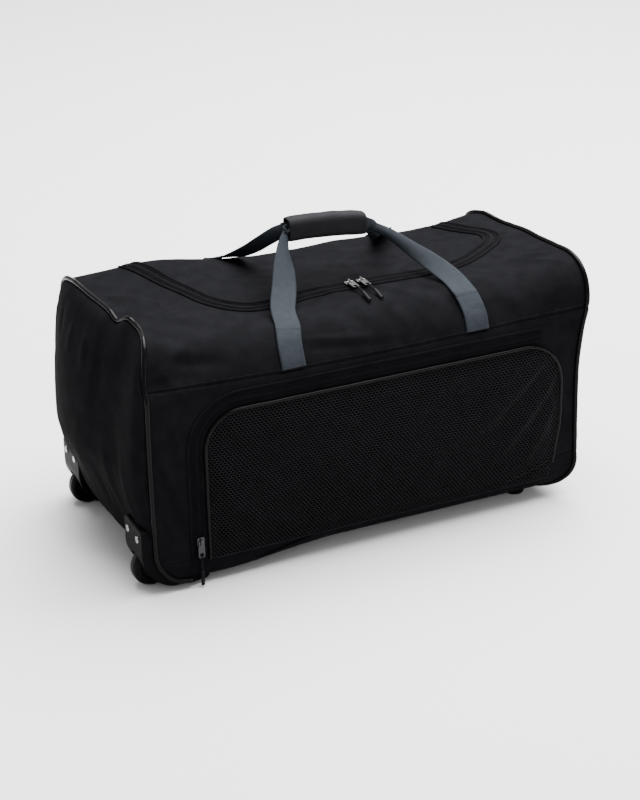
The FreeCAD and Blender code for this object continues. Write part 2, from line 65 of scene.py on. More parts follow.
wall_low, wall_high = span("front_panel")
half_length = wall_high.x
half_depth = -wall_low.y
seam_low_z = wall_low.z
seam_high_z = wall_high.z
bag_top = span("top_front_panel")[1].z
bag_bottom = span("base_panel")[0].z
flap_low, flap_high = span("top_flap")
hinge_y = flap_high.y
flap_front_y = flap_low.y
mesh_low, mesh_high = span("pocket_mesh_panel")
grip_low, grip_high = span("grip_wrap")
strap_left_x = (span("strap_root_left_front")[0].x + span("strap_root_left_front")[1].x) / 2
strap_right_x = (span("strap_root_right_front")[0].x + span("strap_root_right_front")[1].x) / 2
webbing_width = span("strap_root_left_front")[1].x - span("strap_root_left_front")[0].x

shell_thickness = 2.0
shoulder_radius = 78.0
edge_radius = 9.0
corner_radius = 60.0
flat_top = half_depth - shoulder_radius
arc_end = flat_top + shoulder_radius * math.pi / 2
wall_end = arc_end + (bag_top - shoulder_radius) - (bag_bottom + edge_radius)
low_end = wall_end + edge_radius * math.pi / 2
rim_z = bag_bottom + corner_radius


# ------------------------------------------------------------------ camera and light


def make_camera():
    """The photograph's viewpoint, as a long lens from in front and to the left."""
    data = bpy.data.cameras.new("camera")
    camera = bpy.data.objects.new("camera", data)
    bpy.context.scene.collection.objects.link(camera)
    back = Vector((-0.37307, -0.82209, 0.43010))
    right = Vector((0.91062, -0.41325, 0.0))
    up = Vector((0.17774, 0.39166, 0.90278))
    roll = math.radians(-0.974)
    side = right * math.cos(roll) + up * math.sin(roll)
    top = up * math.cos(roll) - right * math.sin(roll)
    turn = Matrix((side, top, back)).transposed().to_4x4()
    camera.matrix_world = Matrix.Translation((-1.26288, -2.76367, 1.62186)) @ turn
    data.sensor_fit = "AUTO"
    data.sensor_width = 36.0
    data.lens = 90.0
    bpy.context.scene.camera = camera


def area_light(name, place, aim, size, power):
    """A square soft box at place, pointing at aim."""
    data = bpy.data.lights.new(name, "AREA")
    data.shape = "RECTANGLE"
    data.size, data.size_y = size
    data.energy = power
    lamp = bpy.data.objects.new(name, data)
    bpy.context.scene.collection.objects.link(lamp)
    lamp.location = place
    lamp.rotation_euler = (Vector(aim) - Vector(place)).to_track_quat("-Z", "Y").to_euler()


def make_stage():
    """Pale floor, pale surroundings and soft studio lights."""
    world = bpy.data.worlds.new("studio")
    bpy.context.scene.world = world
    world.use_nodes = True
    world.node_tree.nodes["Background"].inputs["Color"].default_value = (1, 1, 1, 1)
    world.node_tree.nodes["Background"].inputs["Strength"].default_value = 0.9
    bpy.ops.mesh.primitive_plane_add(size=40)
    floor = bpy.context.object
    floor.name = "floor"
    material = bpy.data.materials.new("floor")
    material.use_nodes = True
    shader = material.node_tree.nodes["Principled BSDF"]
    shader.inputs["Base Color"].default_value = (0.56, 0.56, 0.56, 1)
    shader.inputs["Roughness"].default_value = 0.9
    floor.data.materials.append(material)
    area_light("overhead", (1.3, 0.7, 4.2), (0.2, 0, 0.2), (5.2, 5.0), 1700)
    area_light("front", (1.2, -3.4, 1.5), (0.1, 0, 0.2), (1.6, 1.2), 27)


# ------------------------------------------------------------------ pull cords

cord_radius = 1.0
cord_strand = [(0, -50, 1.15), (0.5, -41.5, 1.6), (-0.4, -34, 2.1), (0.3, -28.2, 2.35), (0, -24, 2.1)]
left_pin = Vector((18, -64, 409))
right_pin = Vector((39, -64, 409))
side_pin = Vector((-308.5, -203, 80))


def pull_cord(name, pin, hanging, body, cord_node):
    """The thin cord that loops through a puller's eye and back into its moulded end."""
    local = cord_strand + [(-x, y, -z) for x, y, z in reversed(cord_strand)]
    if hanging:
        local = [(x, -z, y) for x, y, z in local]
    points = [Vector(p) + pin for p in local]
    curve = bpy.data.curves.new(name, "CURVE")
    curve.dimensions = "3D"
    curve.bevel_depth = cord_radius * MM
    curve.bevel_resolution = 5
    curve.resolution_u = 10
    curve.use_fill_caps = True
    strand = curve.splines.new("NURBS")
    strand.points.add(len(points) - 1)
    for place, point in zip(strand.points, points):
        place.co = (*(point * MM), 1)
    strand.order_u = 3
    strand.use_endpoint_u = True
    obj = bpy.data.objects.new(name, curve)
    bpy.context.scene.collection.objects.link(obj)
    curve.materials.append(cord_cloth)
    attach(obj, body)
    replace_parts(obj, cord_node)


def pull_cords():
    """The three cords: two on the flap's pullers and one on the pocket's."""
    pull_cord("left_cord", left_pin, False, "left_pull", "main_pull_cord_left")
    pull_cord("right_cord", right_pin, False, "right_pull", "main_pull_cord_right")
    pull_cord("side_cord", side_pin, True, "side_pull", "pocket_pull_cord")


# ------------------------------------------------------------------ the bag's surface


def bump(value, middle, width):
    """A smooth hill of height one."""
    return np.exp(-((value - middle) / width) ** 2)


def ramp(value, low, high):
    """Zero below low, one above high, smooth between."""
    t = np.clip((value - low) / (high - low), 0, 1)
    return t * t * (3 - 2 * t)


def noise(x, y, z, size, seed):
    """Smooth value noise from -1 to 1 with features of the given size."""
    px, py, pz = x / size, y / size, z / size
    ix, iy, iz = np.floor(px), np.floor(py), np.floor(pz)
    fx, fy, fz = px - ix, py - iy, pz - iz
    ux, uy, uz = (f * f * (3 - 2 * f) for f in (fx, fy, fz))
    total = 0.0
    for dx in (0, 1):
        for dy in (0, 1):
            for dz in (0, 1):
                hashed = np.sin((ix + dx) * 12.9898 + (iy + dy) * 78.233 + (iz + dz) * 37.719 + seed * 4.137)
                value = (hashed * 43758.5453) % 1.0
                weight = (ux if dx else 1 - ux) * (uy if dy else 1 - uy) * (uz if dz else 1 - uz)
                total = total + value * weight
    return total * 2 - 1


def fold(x, a, start, end, width, height):
    """A crease or ridge of cloth from start to end that fades at both ends."""
    sx, sa = start
    dx, da = end[0] - sx, end[1] - sa
    length = math.hypot(dx, da)
    along = ((x - sx) * dx + (a - sa) * da) / length ** 2
    across = ((x - sx) * da - (a - sa) * dx) / length
    fade = np.clip(np.sin(np.clip(along, 0, 1) * math.pi), 0, 1) ** 0.7
    spread = width * (0.65 + 0.7 * np.clip(along, 0, 1))
    return height * fade * np.exp(-np.abs(across / spread) ** 2.0)


def add_folds(height, x, a, table):
    """The height with a table of folds added: each is start, end, width and height."""
    for start, end, width, rise in table:
        height = height + fold(x, a, start, end, width, rise)
    return height


def wall_a(z):
    """Distance round the section, from the top's middle, of a height on the wall."""
    return arc_end + (bag_top - shoulder_radius - z)


def section(a):
    """The bag's plain cross-section: y, z and outward normal at distance a round it."""
    front = np.where(a >= 0, -1.0, 1.0)
    m = np.abs(a)
    over = np.clip((m - flat_top) / shoulder_radius, 0, math.pi / 2)
    under = np.clip((m - wall_end) / edge_radius, 0, math.pi / 2)
    y = np.minimum(m, flat_top) + shoulder_radius * np.sin(over)
    z = bag_top - shoulder_radius * (1 - np.cos(over)) - (np.clip(m, arc_end, wall_end) - arc_end)
    y = y - edge_radius * (1 - np.cos(under)) - np.clip(m - low_end, 0, None)
    z = z - edge_radius * np.sin(under)
    ny = np.sin(over) * np.cos(under)
    nz = np.cos(over) * (under <= 0) - np.sin(under)
    return front * y, z, front * ny, nz


def swell(x, a):
    """How far the stuffed bag stands out from the plain section, before its wrinkles."""
    wheel = bump(x, -half_length, 95)
    far = bump(x, half_length, 80)
    h = wheel * (17 * bump(a, -182, 34) + 8 * bump(a, -90, 60) + 8 * bump(a, 0, 55) + 13 * bump(a, 95, 42))
    h = h + wheel * (12 * bump(a, 150, 24) - 7 * bump(a, 205, 22)
                     - 5 * bump(a, 345, 110) - 7 * bump(a, -345, 120))
    h = h + bump(x, -half_length, 40) * (6 * bump(a, 70, 15) - 6 * bump(a, 38, 14))
    h = h + far * (25 * bump(a, 170, 50) + 13 * bump(a, 88, 55) + 8 * bump(a, 5, 50) - 5 * bump(a, -105, 34))
    h = h + 7 * bump(x, half_length + 4, 52) * bump(a, -182, 30)
    h = h + far * (-7 * bump(a, 350, 120) - 7 * bump(a, -350, 120))
    h = h + 20 * bump(x, -245, 100) * bump(a, -128, 62) + 7 * bump(x, -225, 110) * bump(a, -20, 70)
    h = h - 8 * bump(x, -140, 90) * bump(a, 72, 48)
    h = h - 4 * bump(x, -10, 95) * bump(a, -130, 60) - 12 * bump(x, 235, 85) * bump(a, -115, 80)
    h = h - 5 * bump(x, 150, 140) * bump(a, 20, 70)
    h = h + 4 * bump(x, half_length, 60) * bump(a, -120, 34)
    middle = 1 - (x / half_length) ** 2
    h = h + middle * (4 * bump(a, 380, 90) + 5 * bump(a, -380, 100))
    return h


def wrinkles(x, a):
    """Folds and soft dents in the cloth."""
    y, z, _, _ = section(a)
    h = 1.1 * noise(x, y, z, 70, 1) + 0.6 * noise(x, y, z, 30, 2) + 0.2 * noise(x, y, z, 13, 3)
    low = wall_a
    creases = [
        ((-372, low(250)), (-322, low(105)), 12, 4.5), ((-366, low(205)), (-318, low(62)), 9, -3.5),
        ((-345, low(300)), (-318, low(190)), 10, 3.0), ((-374, low(150)), (-330, low(58)), 8, 2.6),
        ((-374, 205), (-300, 150), 12, 5.0), ((-378, 120), (-285, 168), 14, -4.5),
        ((-360, 175), (-230, 196), 10, -4.0), ((-350, 190), (-332, 232), 9, 4.0),
        ((-376, 60), (-270, 95), 12, 4.0), ((-372, 10), (-300, 20), 13, -4.0),
        ((-370, -40), (-300, -10), 12, 4.0), ((-118, 182), (20, 205), 8, 3.2),
        ((-116, 200), (60, 215), 7, -2.6), ((60, 96), (120, 170), 12, 4.2),
        ((88, 92), (150, 140), 10, -3.4), ((20, 110), (70, 200), 12, 3.0),
        ((120, 100), (165, 200), 12, -3.6), ((205, 110), (260, 200), 16, 3.0),
        ((230, 80), (330, 150), 14, -2.5), ((-60, 100), (-20, 180), 16, -2.4),
        ((-110, 44), (20, 40), 11, 5.0), ((-10, 34), (110, 22), 12, 5.5), ((40, 10), (150, -20), 22, -5.0),
        ((-150, -40), (-60, -90), 20, -4.5), ((300, 200), (374, 150), 12, 3.0),
        ((352, low(240)), (372, low(110)), 8, 3.0), ((318, 92), (372, 132), 5, 2.6),
        ((326, 76), (376, 108), 5, -2.4), ((312, 118), (366, 156), 6, 2.4), ((250, 60), (350, 66), 9, 2.6),
        ((-40, 60), (30, 120), 9, 2.8), ((0, 52), (64, 104), 8, -2.6),
        ((-370, -low(250)), (-250, -low(120)), 18, 5), ((370, -low(260)), (230, -low(110)), 20, 5),
        ((-120, -low(320)), (40, -low(150)), 26, -4), ((120, -low(300)), (60, -low(90)), 22, 4),
        ((-260, -170), (-60, -205), 12, 4), ((300, -160), (120, -205), 12, 4),
    ]
    h = add_folds(h, x, a, creases)
    edge = ramp(half_length - np.abs(x), 0, 26)
    return h * edge


def seam_groove(x, a):
    """The pull of the sewn seams: a narrow groove with small puckers beside it."""
    h = 0.0
    for seam in (seam_a(x), -seam_a(x), low_seam_a(x), -low_seam_a(x)):
        away = a - seam
        pucker = 0.5 + 0.5 * np.sin(x / 3.4 + 2.0 * np.sin(x / 23.0))
        h = h - 1.7 * np.exp(-(away / 2.2) ** 2) + 0.9 * pucker * np.exp(-((np.abs(away) - 6) / 5) ** 2)
    return h


def seam_a(x):
    """The shoulder seam: it climbs a little towards both ends."""
    return wall_a(seam_high_z) - 9 * (x / half_length) ** 2


def low_seam_a(x):
    """The seam above the base band."""
    rise = 8 * ramp(-x, 250, 380) + 42 * ramp(x, 120, 380) ** 1.5
    return wall_a(seam_low_z - 2) - rise


tuck_radius = 46.0
tuck_start = -265.0
tuck_full = -20.0


def tuck(x, y, z):
    """Round the lower front and back edges more than the hard base does, away from the wheels."""
    share = ramp(x, tuck_start, tuck_full)
    depth = np.clip(bag_bottom + tuck_radius - z, 0, tuck_radius)
    round_in = tuck_radius - np.sqrt(np.maximum(tuck_radius ** 2 - depth ** 2, 0))
    hard_in = half_depth - np.minimum(np.abs(y), half_depth)
    inward = np.where(depth > 0, np.maximum(round_in - hard_in, 0), 0)
    side = np.sign(y)
    from_corner = np.clip(np.abs(y) - (half_depth - tuck_radius), 0, tuck_radius)
    floor_rise = tuck_radius - np.sqrt(np.maximum(tuck_radius ** 2 - from_corner ** 2, 0))
    under = z < bag_bottom + edge_radius
    new_y = np.where(under, y, y - side * inward)
    new_z = np.where(under, np.maximum(z, bag_bottom + floor_rise), z)
    return y + (new_y - y) * share, z + (new_z - z) * share


def lean(x, a):
    """The wheel end's near shoulder and the far end's back shoulder lean in towards the middle."""
    near = 24.0 * ramp(-x, 110, 380) * (bump(a, 105, 62) + 0.35 * bump(a, 0, 70))
    return near - 17.0 * ramp(x, 200, 380) * bump(a, -170, 50)


def taper(x, z):
    """The far end draws in a little towards the floor."""
    return x - 8.0 * ramp(x, 240, 380) * ramp(375 - z, 0, 150)


def calm(x, a, z):
    """Small where a zipper slider runs, so that the cloth lies flat under it."""
    top = bump(x, 28, 95) * bump(a, -flap_front_y, 24)
    pocket = bump(x, mesh_low.x - 19.5, 20) * (a > 0) * ramp(300 - z, 0, 60)
    return (1 - 0.9 * top) * (1 - 0.8 * pocket)


def surface(x, a, off=0.0):
    """Points on the bag's outside at length x and distance a round it, lifted by off."""
    x = np.asarray(x, float)
    a = np.asarray(a, float) + 0.0 * x
    x = x + 0.0 * a
    y, z, ny, nz = section(a)
    h = swell(x, a) + wrinkles(x, a) + seam_groove(x, a)
    foot = ramp(z, bag_bottom + 4, rim_z + 30)
    h = h * foot * calm(x, a, z) + off
    y, z = tuck(x, y + ny * h, z + nz * h)
    return np.stack([taper(x, z) + lean(x, a), y, z], -1)


def lifted(x, a, off=0.0):
    """Points on the bag's outside, raised by off along the true normal there."""
    step = 1.5
    point = surface(x, a)
    dx = surface(x + step, a) - surface(x - step, a)
    da = surface(x, a + step) - surface(x, a - step)
    normal = np.cross(da, dx)
    normal /= np.linalg.norm(normal, axis=-1, keepdims=True) + 1e-12
    _, _, ny, nz = section(a + 0.0 * x)
    sign = np.sign(normal[..., 1] * ny + normal[..., 2] * nz)[..., None]
    normal = normal * np.where(sign == 0, 1, sign)
    return point + normal * np.asarray(off)[..., None]


# ------------------------------------------------------------------ mesh helpers


def make_object(name, points, faces, material, uv=None):
    """A mesh object from points in millimetres."""
    mesh = bpy.data.meshes.new(name)
    points = np.asarray(points, float).reshape(-1, 3) * MM
    mesh.from_pydata(points.tolist(), [], faces)
    mesh.update()
    if uv is not None:
        layer = mesh.uv_layers.new(name="UVMap")
        index = np.zeros(len(mesh.loops), int)
        mesh.loops.foreach_get("vertex_index", index)
        layer.data.foreach_set("uv", (np.asarray(uv, float).reshape(-1, 2) * MM)[index].ravel())
    for polygon in mesh.polygons:
        polygon.use_smooth = True
    obj = bpy.data.objects.new(name, mesh)
    bpy.context.scene.collection.objects.link(obj)
    mesh.materials.append(material)
    return obj


def grid_faces(rows, columns, close_columns=False, flip=False):
    """Quads of a grid stored row by row."""
    faces = []
    for i in range(rows - 1):
        for j in range(columns if close_columns else columns - 1):
            j2 = (j + 1) % columns
            quad = (i * columns + j, i * columns + j2, (i + 1) * columns + j2, (i + 1) * columns + j)
            faces.append(quad[::-1] if flip else quad)
    return faces


def grid_object(name, points, material, flip=False, uv=None):
    """A grid of points as one smooth piece."""
    rows, columns = points.shape[:2]
    faces = grid_faces(rows, columns, flip=flip)
    return make_object(name, points, faces, material, uv=uv)


def thicken(obj, amount, offset=-1.0, inner=None):
    """Give a sheet its thickness in millimetres; inner is the material of its far side."""
    modifier = obj.modifiers.new("thickness", "SOLIDIFY")
    modifier.thickness = amount * MM
    modifier.offset = offset
    modifier.use_even_offset = False
    if inner is not None:
        obj.data.materials.append(inner)
        modifier.material_offset = 1
        modifier.material_offset_rim = 0
    return obj


def rounded_path(points, radii, step):
    """Straight runs and tangent arcs through corner points, sampled about every step."""
    points = [np.array(p, float) for p in points]
    out = [points[0]]
    for i in range(1, len(points) - 1):
        p, r = points[i], radii[i]
        back, ahead = points[i - 1] - p, points[i + 1] - p
        back, ahead = back / np.linalg.norm(back), ahead / np.linalg.norm(ahead)
        half = math.acos(np.clip(back @ ahead, -1, 1)) / 2
        reach = r / math.tan(half)
        inward = back + ahead
        centre = p + inward / np.linalg.norm(inward) * (r / math.sin(half))
        start, end = p + back * reach - centre, p + ahead * reach - centre
        sweep = math.pi - 2 * half
        count = max(3, int(r * sweep / step))
        for k in range(count + 1):
            t = k / count
            mixed = start * math.sin((1 - t) * sweep) + end * math.sin(t * sweep)
            out.append(centre + mixed / math.sin(sweep))
    out.append(points[-1])
    return resample(np.array(out), step)


def resample(path, step):
    """The same polyline with evenly spaced points."""
    lengths = np.concatenate([[0], np.cumsum(np.linalg.norm(np.diff(path, axis=0), axis=1))])
    keep = np.concatenate([[True], np.diff(lengths) > 1e-9])
    path, lengths = path[keep], lengths[keep]
    count = max(2, int(round(lengths[-1] / step)))
    where = np.linspace(0, lengths[-1], count + 1)
    return np.stack([np.interp(where, lengths, path[:, k]) for k in range(path.shape[1])], 1)


def path_tangents(path):
    """Unit directions along a path."""
    tangent = np.gradient(path, axis=0)
    return tangent / np.linalg.norm(tangent, axis=1, keepdims=True)


def path_normals(path):
    """Unit normals of a flat path, to the right of its direction."""
    tangent = path_tangents(path)
    return np.stack([tangent[:, 1], -tangent[:, 0]], 1)


def sweep_frames(path):
    """Side and up directions along a path in space, turned as little as possible."""
    tangent = path_tangents(path)
    side = np.zeros_like(path)
    start = np.cross(tangent[0], [0.3, 0.2, 1.0])
    side[0] = start / np.linalg.norm(start)
    for i in range(1, len(path)):
        carried = side[i - 1] - tangent[i] * (side[i - 1] @ tangent[i])
        side[i] = carried / np.linalg.norm(carried)
    return side, np.cross(tangent, side)


def tube_object(name, path, radius, material, around=12, wobble=0.0, seed=0):
    """A round cord along a path, with closed ends."""
    side, up = sweep_frames(path)
    angle = np.linspace(0, 2 * math.pi, around, endpoint=False)
    size = radius * (1 + wobble * noise(path[:, 0], path[:, 1], path[:, 2], 14, seed))
    ring = np.cos(angle)[None, :, None] * side[:, None, :] + np.sin(angle)[None, :, None] * up[:, None, :]
    points = path[:, None, :] + ring * size[:, None, None]
    rows = len(path)
    faces = grid_faces(rows, around, close_columns=True)
    flat = points.reshape(-1, 3)
    flat = np.concatenate([flat, path[:1], path[-1:]])
    first, last = len(flat) - 2, len(flat) - 1
    for j in range(around):
        faces.append((first, (j + 1) % around, j))
        faces.append((last, (rows - 1) * around + j, (rows - 1) * around + (j + 1) % around))
    return make_object(name, flat, faces, material)


# ------------------------------------------------------------------ materials


class Nodes:
    """A short way to write a node material."""

    def __init__(self, name, colour, roughness):
        self.material = bpy.data.materials.new(name)
        self.material.use_nodes = True
        self.tree = self.material.node_tree
        self.shader = self.tree.nodes["Principled BSDF"]
        self.shader.inputs["Base Color"].default_value = (*colour, 1)
        self.shader.inputs["Roughness"].default_value = roughness
        self.heights = []

    def add(self, kind, **values):
        """A new node with its settings and input values."""
        node = self.tree.nodes.new(kind)
        for key, value in values.items():
            if hasattr(node, key):
                setattr(node, key, value)
            else:
                node.inputs[key.replace("_", " ")].default_value = value
        return node

    def link(self, out, into):
        """Join an output to an input."""
        self.tree.links.new(out, into)

    def coordinates(self, uv=False):
        """The object's own coordinates, or its UV map."""
        node = self.add("ShaderNodeTexCoord")
        return node.outputs["UV" if uv else "Object"]

    def noise(self, scale, detail=3.0):
        """Cloudy noise; scale is features per metre."""
        node = self.add("ShaderNodeTexNoise", Scale=scale, Detail=detail)
        self.link(self.coordinates(), node.inputs["Vector"])
        return node.outputs["Fac"]

    def wave(self, scale, direction, uv=False):
        """Smooth parallel bands."""
        node = self.add("ShaderNodeTexWave", Scale=scale)
        node.wave_type = "BANDS"
        node.bands_direction = direction
        node.wave_profile = "SIN"
        self.link(self.coordinates(uv), node.inputs["Vector"])
        return node.outputs["Fac"]

    def maths(self, operation, first, second):
        """One sum on two outputs or numbers."""
        node = self.add("ShaderNodeMath")
        node.operation = operation
        for i, value in enumerate((first, second)):
            if isinstance(value, (int, float)):
                node.inputs[i].default_value = value
            else:
                self.link(value, node.inputs[i])
        return node.outputs[0]

    def mix_colour(self, factor, dark, light):
        """Base colour between two tones."""
        node = self.add("ShaderNodeValToRGB")
        node.color_ramp.elements[0].color = (*dark, 1)
        node.color_ramp.elements[1].color = (*light, 1)
        self.link(factor, node.inputs["Fac"])
        self.link(node.outputs["Color"], self.shader.inputs["Base Color"])

    def rough(self, factor, low, high):
        """Roughness between two values."""
        node = self.add("ShaderNodeMapRange")
        node.inputs["To Min"].default_value = low
        node.inputs["To Max"].default_value = high
        self.link(factor, node.inputs["Value"])
        self.link(node.outputs["Result"], self.shader.inputs["Roughness"])

    def bump(self, height, distance, strength=1.0):
        """Surface relief, added to any before it."""
        node = self.add("ShaderNodeBump", Strength=strength, Distance=distance)
        self.link(height, node.inputs["Height"])
        if self.heights:
            self.link(self.heights[-1], node.inputs["Normal"])
        self.heights.append(node.outputs["Normal"])
        self.link(node.outputs["Normal"], self.shader.inputs["Normal"])


def weave(nodes, pitch, depth):
    """A plain weave: threads along all three axes, so that any face shows two of them."""
    scale = 1.0 / (2 * pitch * MM)
    threads = nodes.wave(scale, "X")
    threads = nodes.maths("MULTIPLY", nodes.maths("ADD", threads, nodes.wave(scale, "Y")), 0.5)
    threads = nodes.maths("MAXIMUM", threads, nodes.wave(scale, "Z"))
    nodes.bump(threads, depth * MM)


def cloth_material(name, dark, light, roughness=0.78, sheen=0.02, pitch=1.1, depth=0.12, gloss=0.05):
    """Matt woven polyester with a faint sheen and an uneven tone."""
    nodes = Nodes(name, dark, roughness)
    patchy = nodes.maths("MULTIPLY", nodes.noise(38, 5.0), nodes.noise(900, 2.0))
    nodes.mix_colour(nodes.maths("MULTIPLY", patchy, 2.4), dark, light)
    nodes.shader.inputs["Sheen Weight"].default_value = sheen
    nodes.shader.inputs["Sheen Roughness"].default_value = 0.55
    nodes.shader.inputs["Specular IOR Level"].default_value = gloss
    nodes.bump(nodes.noise(60, 6.0), 0.0011, 0.35)
    weave(nodes, pitch, depth)
    return nodes.material


rib_pitch = 0.0026
thread_pitch = 0.0013


def webbing_material():
    """Slate webbing: ribs along its length crossed by fine diagonal threads."""
    nodes = Nodes("webbing", (0.07, 0.08, 0.095), 0.7)
    ribs = nodes.wave(1 / (2 * rib_pitch), "X", uv=True)
    threads = nodes.wave(1 / (2 * thread_pitch), "DIAGONAL", uv=True)
    both = nodes.maths("ADD", nodes.maths("MULTIPLY", ribs, 0.6), nodes.maths("MULTIPLY", threads, 0.4))
    uneven = nodes.maths("MULTIPLY", both, nodes.maths("ADD", nodes.noise(120, 4.0), 0.5))
    nodes.mix_colour(uneven, (0.0075, 0.009, 0.0113), (0.026, 0.0305, 0.0365))
    nodes.shader.inputs["Specular IOR Level"].default_value = 0.04
    nodes.bump(both, 0.0005, 0.8)
    return nodes.material


def vinyl_material():
    """Glossy black piping."""
    nodes = Nodes("vinyl_piping", (0.0015, 0.0015, 0.0018), 0.22)
    nodes.rough(nodes.noise(160, 4.0), 0.12, 0.3)
    nodes.shader.inputs["Specular IOR Level"].default_value = 0.055
    nodes.bump(nodes.noise(220, 3.0), 0.0004, 0.3)
    return nodes.material


def plastic_material(name, colour, roughness, grain=0.00012, gloss=0.12):
    """Moulded plastic with a fine grain."""
    nodes = Nodes(name, colour, roughness)
    nodes.rough(nodes.noise(90, 4.0), roughness - 0.07, roughness + 0.1)
    nodes.shader.inputs["Specular IOR Level"].default_value = gloss
    nodes.bump(nodes.noise(1500, 3.0), grain, 0.6)
    return nodes.material


def metal_material(name, colour, roughness):
    """Plated metal with light handling marks."""
    nodes = Nodes(name, colour, roughness)
    nodes.shader.inputs["Metallic"].default_value = 1.0
    nodes.rough(nodes.noise(400, 5.0), roughness * 0.7, roughness * 1.5)
    nodes.bump(nodes.noise(900, 2.0), 0.00005, 0.4)
    return nodes.material


shell_cloth = cloth_material("shell_cloth", (0.0019, 0.0019, 0.0023), (0.0052, 0.0052, 0.0061),
                             0.68, 0.0, gloss=0.006)
lining = cloth_material("lining", (0.003, 0.003, 0.0035), (0.006, 0.006, 0.0065), 0.6, 0.0, 0.8, 0.05)
grip_cloth = cloth_material("grip_cloth", (0.0045, 0.0045, 0.0054), (0.0102, 0.0102, 0.0117),
                            0.7, 0.004, 1.2, 0.15)
tape_cloth = cloth_material("tape_cloth", (0.0016, 0.0016, 0.002), (0.0042, 0.0042, 0.005),
                            0.5, 0.0, 1.4, 0.25, 0.006)
net_cloth = cloth_material("net_cloth", (0.005, 0.005, 0.006), (0.011, 0.011, 0.0128),
                           0.45, 0.0, 0.7, 0.08, 0.08)
net_backing = cloth_material("net_backing", (0.0005, 0.0005, 0.0006), (0.001, 0.001, 0.0012),
                             0.9, 0.0, 0.9, 0.05, 0.02)
webbing = webbing_material()
vinyl = vinyl_material()
coil_plastic = plastic_material("coil_plastic", (0.004, 0.004, 0.0047), 0.4, gloss=0.015)
housing_plastic = plastic_material("housing_plastic", (0.0026, 0.0026, 0.0031), 0.38, gloss=0.012)
wheel_plastic = plastic_material("wheel_plastic", (0.003, 0.003, 0.0035), 0.4, gloss=0.04)
tyre_rubber = plastic_material("tyre_rubber", (0.0015, 0.0015, 0.0018), 0.35, gloss=0.05)
pull_rubber = plastic_material("pull_rubber", (0.005, 0.005, 0.006), 0.5, gloss=0.05)
cord_cloth = cloth_material("cord_cloth", (0.002, 0.002, 0.0024), (0.006, 0.006, 0.007), 0.7, 0.0, 0.6, 0.1)
thread = cloth_material("thread", (0.004, 0.004, 0.005), (0.009, 0.009, 0.0105), 0.5, 0.0, 0.5, 0.05)
slate_thread = cloth_material("slate_thread", (0.014, 0.016, 0.019), (0.03, 0.034, 0.04), 0.6, 0.0, 0.5, 0.05)
board = cloth_material("board", (0.003, 0.003, 0.003), (0.006, 0.006, 0.006), 0.8, 0.0, 3.0, 0.1)
nickel = metal_material("nickel", (0.22, 0.22, 0.22), 0.2)
gunmetal = metal_material("gunmetal", (0.035, 0.035, 0.038), 0.28)
steel = metal_material("steel", (0.15, 0.15, 0.15), 0.3)


# ------------------------------------------------------------------ shell panels


def end_reach(z):
    """How far the bag runs in x at height z: its lower corners are rounded."""
    drop = np.clip(rim_z - z, 0, corner_radius)
    return half_length - corner_radius + np.sqrt(np.maximum(corner_radius ** 2 - drop ** 2, 0))


def shell_panel(name, points, flip=False):
    """A lined cloth panel of the bag's body."""
    obj = grid_object(name, points, shell_cloth, flip=flip)
    thicken(obj, shell_thickness, inner=lining)
    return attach(obj, "bag")


def make_wall(name, side):
    """Front (side 1) or back (side -1) wall, from the shoulder seam down and under the edge."""
    columns = np.linspace(-1, 1, 330)
    rows = np.concatenate([np.linspace(0, 1, 130), np.linspace(1, 1.12, 10)[1:]])
    u, t = np.meshgrid(columns, rows)
    top = seam_a(u * half_length)
    a = np.where(t <= 1, top + t * (wall_end - top), wall_end + (t - 1) / 0.12 * (low_end + 16 - wall_end))
    _, z, _, _ = section(a)
    x = u * end_reach(z)
    return shell_panel(name, lifted(x, a * side), flip=side > 0)


flap_corners = [(-290, -hinge_y), (-208, -flap_front_y), (215, -flap_front_y), (342, -12), (288, -hinge_y)]


def flap_outline():
    """The flap's zipper line in (x, distance round the section), from back left to back right."""
    line = rounded_path(flap_corners, [0, 95, 190, 60, 0], 2.5)
    line[:, 1] = np.where(line[:, 1] < -flat_top, over_back(line[:, 1]), line[:, 1])
    return line


def over_back(y_negative):
    """Turn a distance back from the middle into a distance round the shoulder."""
    inside = np.clip((-y_negative - flat_top) / shoulder_radius, 0, 1)
    return -(flat_top + shoulder_radius * np.arcsin(inside))


hinge_a = float(over_back(np.array(-hinge_y)))


def make_top():
    """Shoulder and rim of the top, all round the flap on three sides."""
    line = flap_outline()
    count = len(line)
    x = line[:, 0]
    left = int(np.argmax(x > -238))
    right = int(np.argmax(x > 318))
    outer = np.zeros_like(line)
    k = np.arange(count)
    share = k[:left] / left
    side_a = hinge_a + share * (seam_a(-half_length) - hinge_a)
    outer[:left] = np.stack([np.full(left, -half_length), side_a], 1)
    share = (k[left:right] - left) / (right - left)
    front_x = -half_length + share * 2 * half_length
    outer[left:right] = np.stack([front_x, seam_a(front_x)], 1)
    share = (k[right:] - right) / (count - 1 - right)
    side_a = seam_a(half_length) + share * (hinge_a - seam_a(half_length))
    outer[right:] = np.stack([np.full(count - right, half_length), side_a], 1)
    rows = np.linspace(0, 1, 96)[:, None, None]
    both = line[None] * (1 - rows) + outer[None] * rows
    return shell_panel("top_shell", lifted(both[..., 0], both[..., 1]), flip=True)


def make_top_back():
    """The strip of top behind the flap's hinge, down to the back seam."""
    x, t = np.meshgrid(np.linspace(-half_length, half_length, 300), np.linspace(0, 1, 40))
    a = hinge_a + t * (-seam_a(x) - hinge_a)
    return shell_panel("top_back_shell", lifted(x, a))


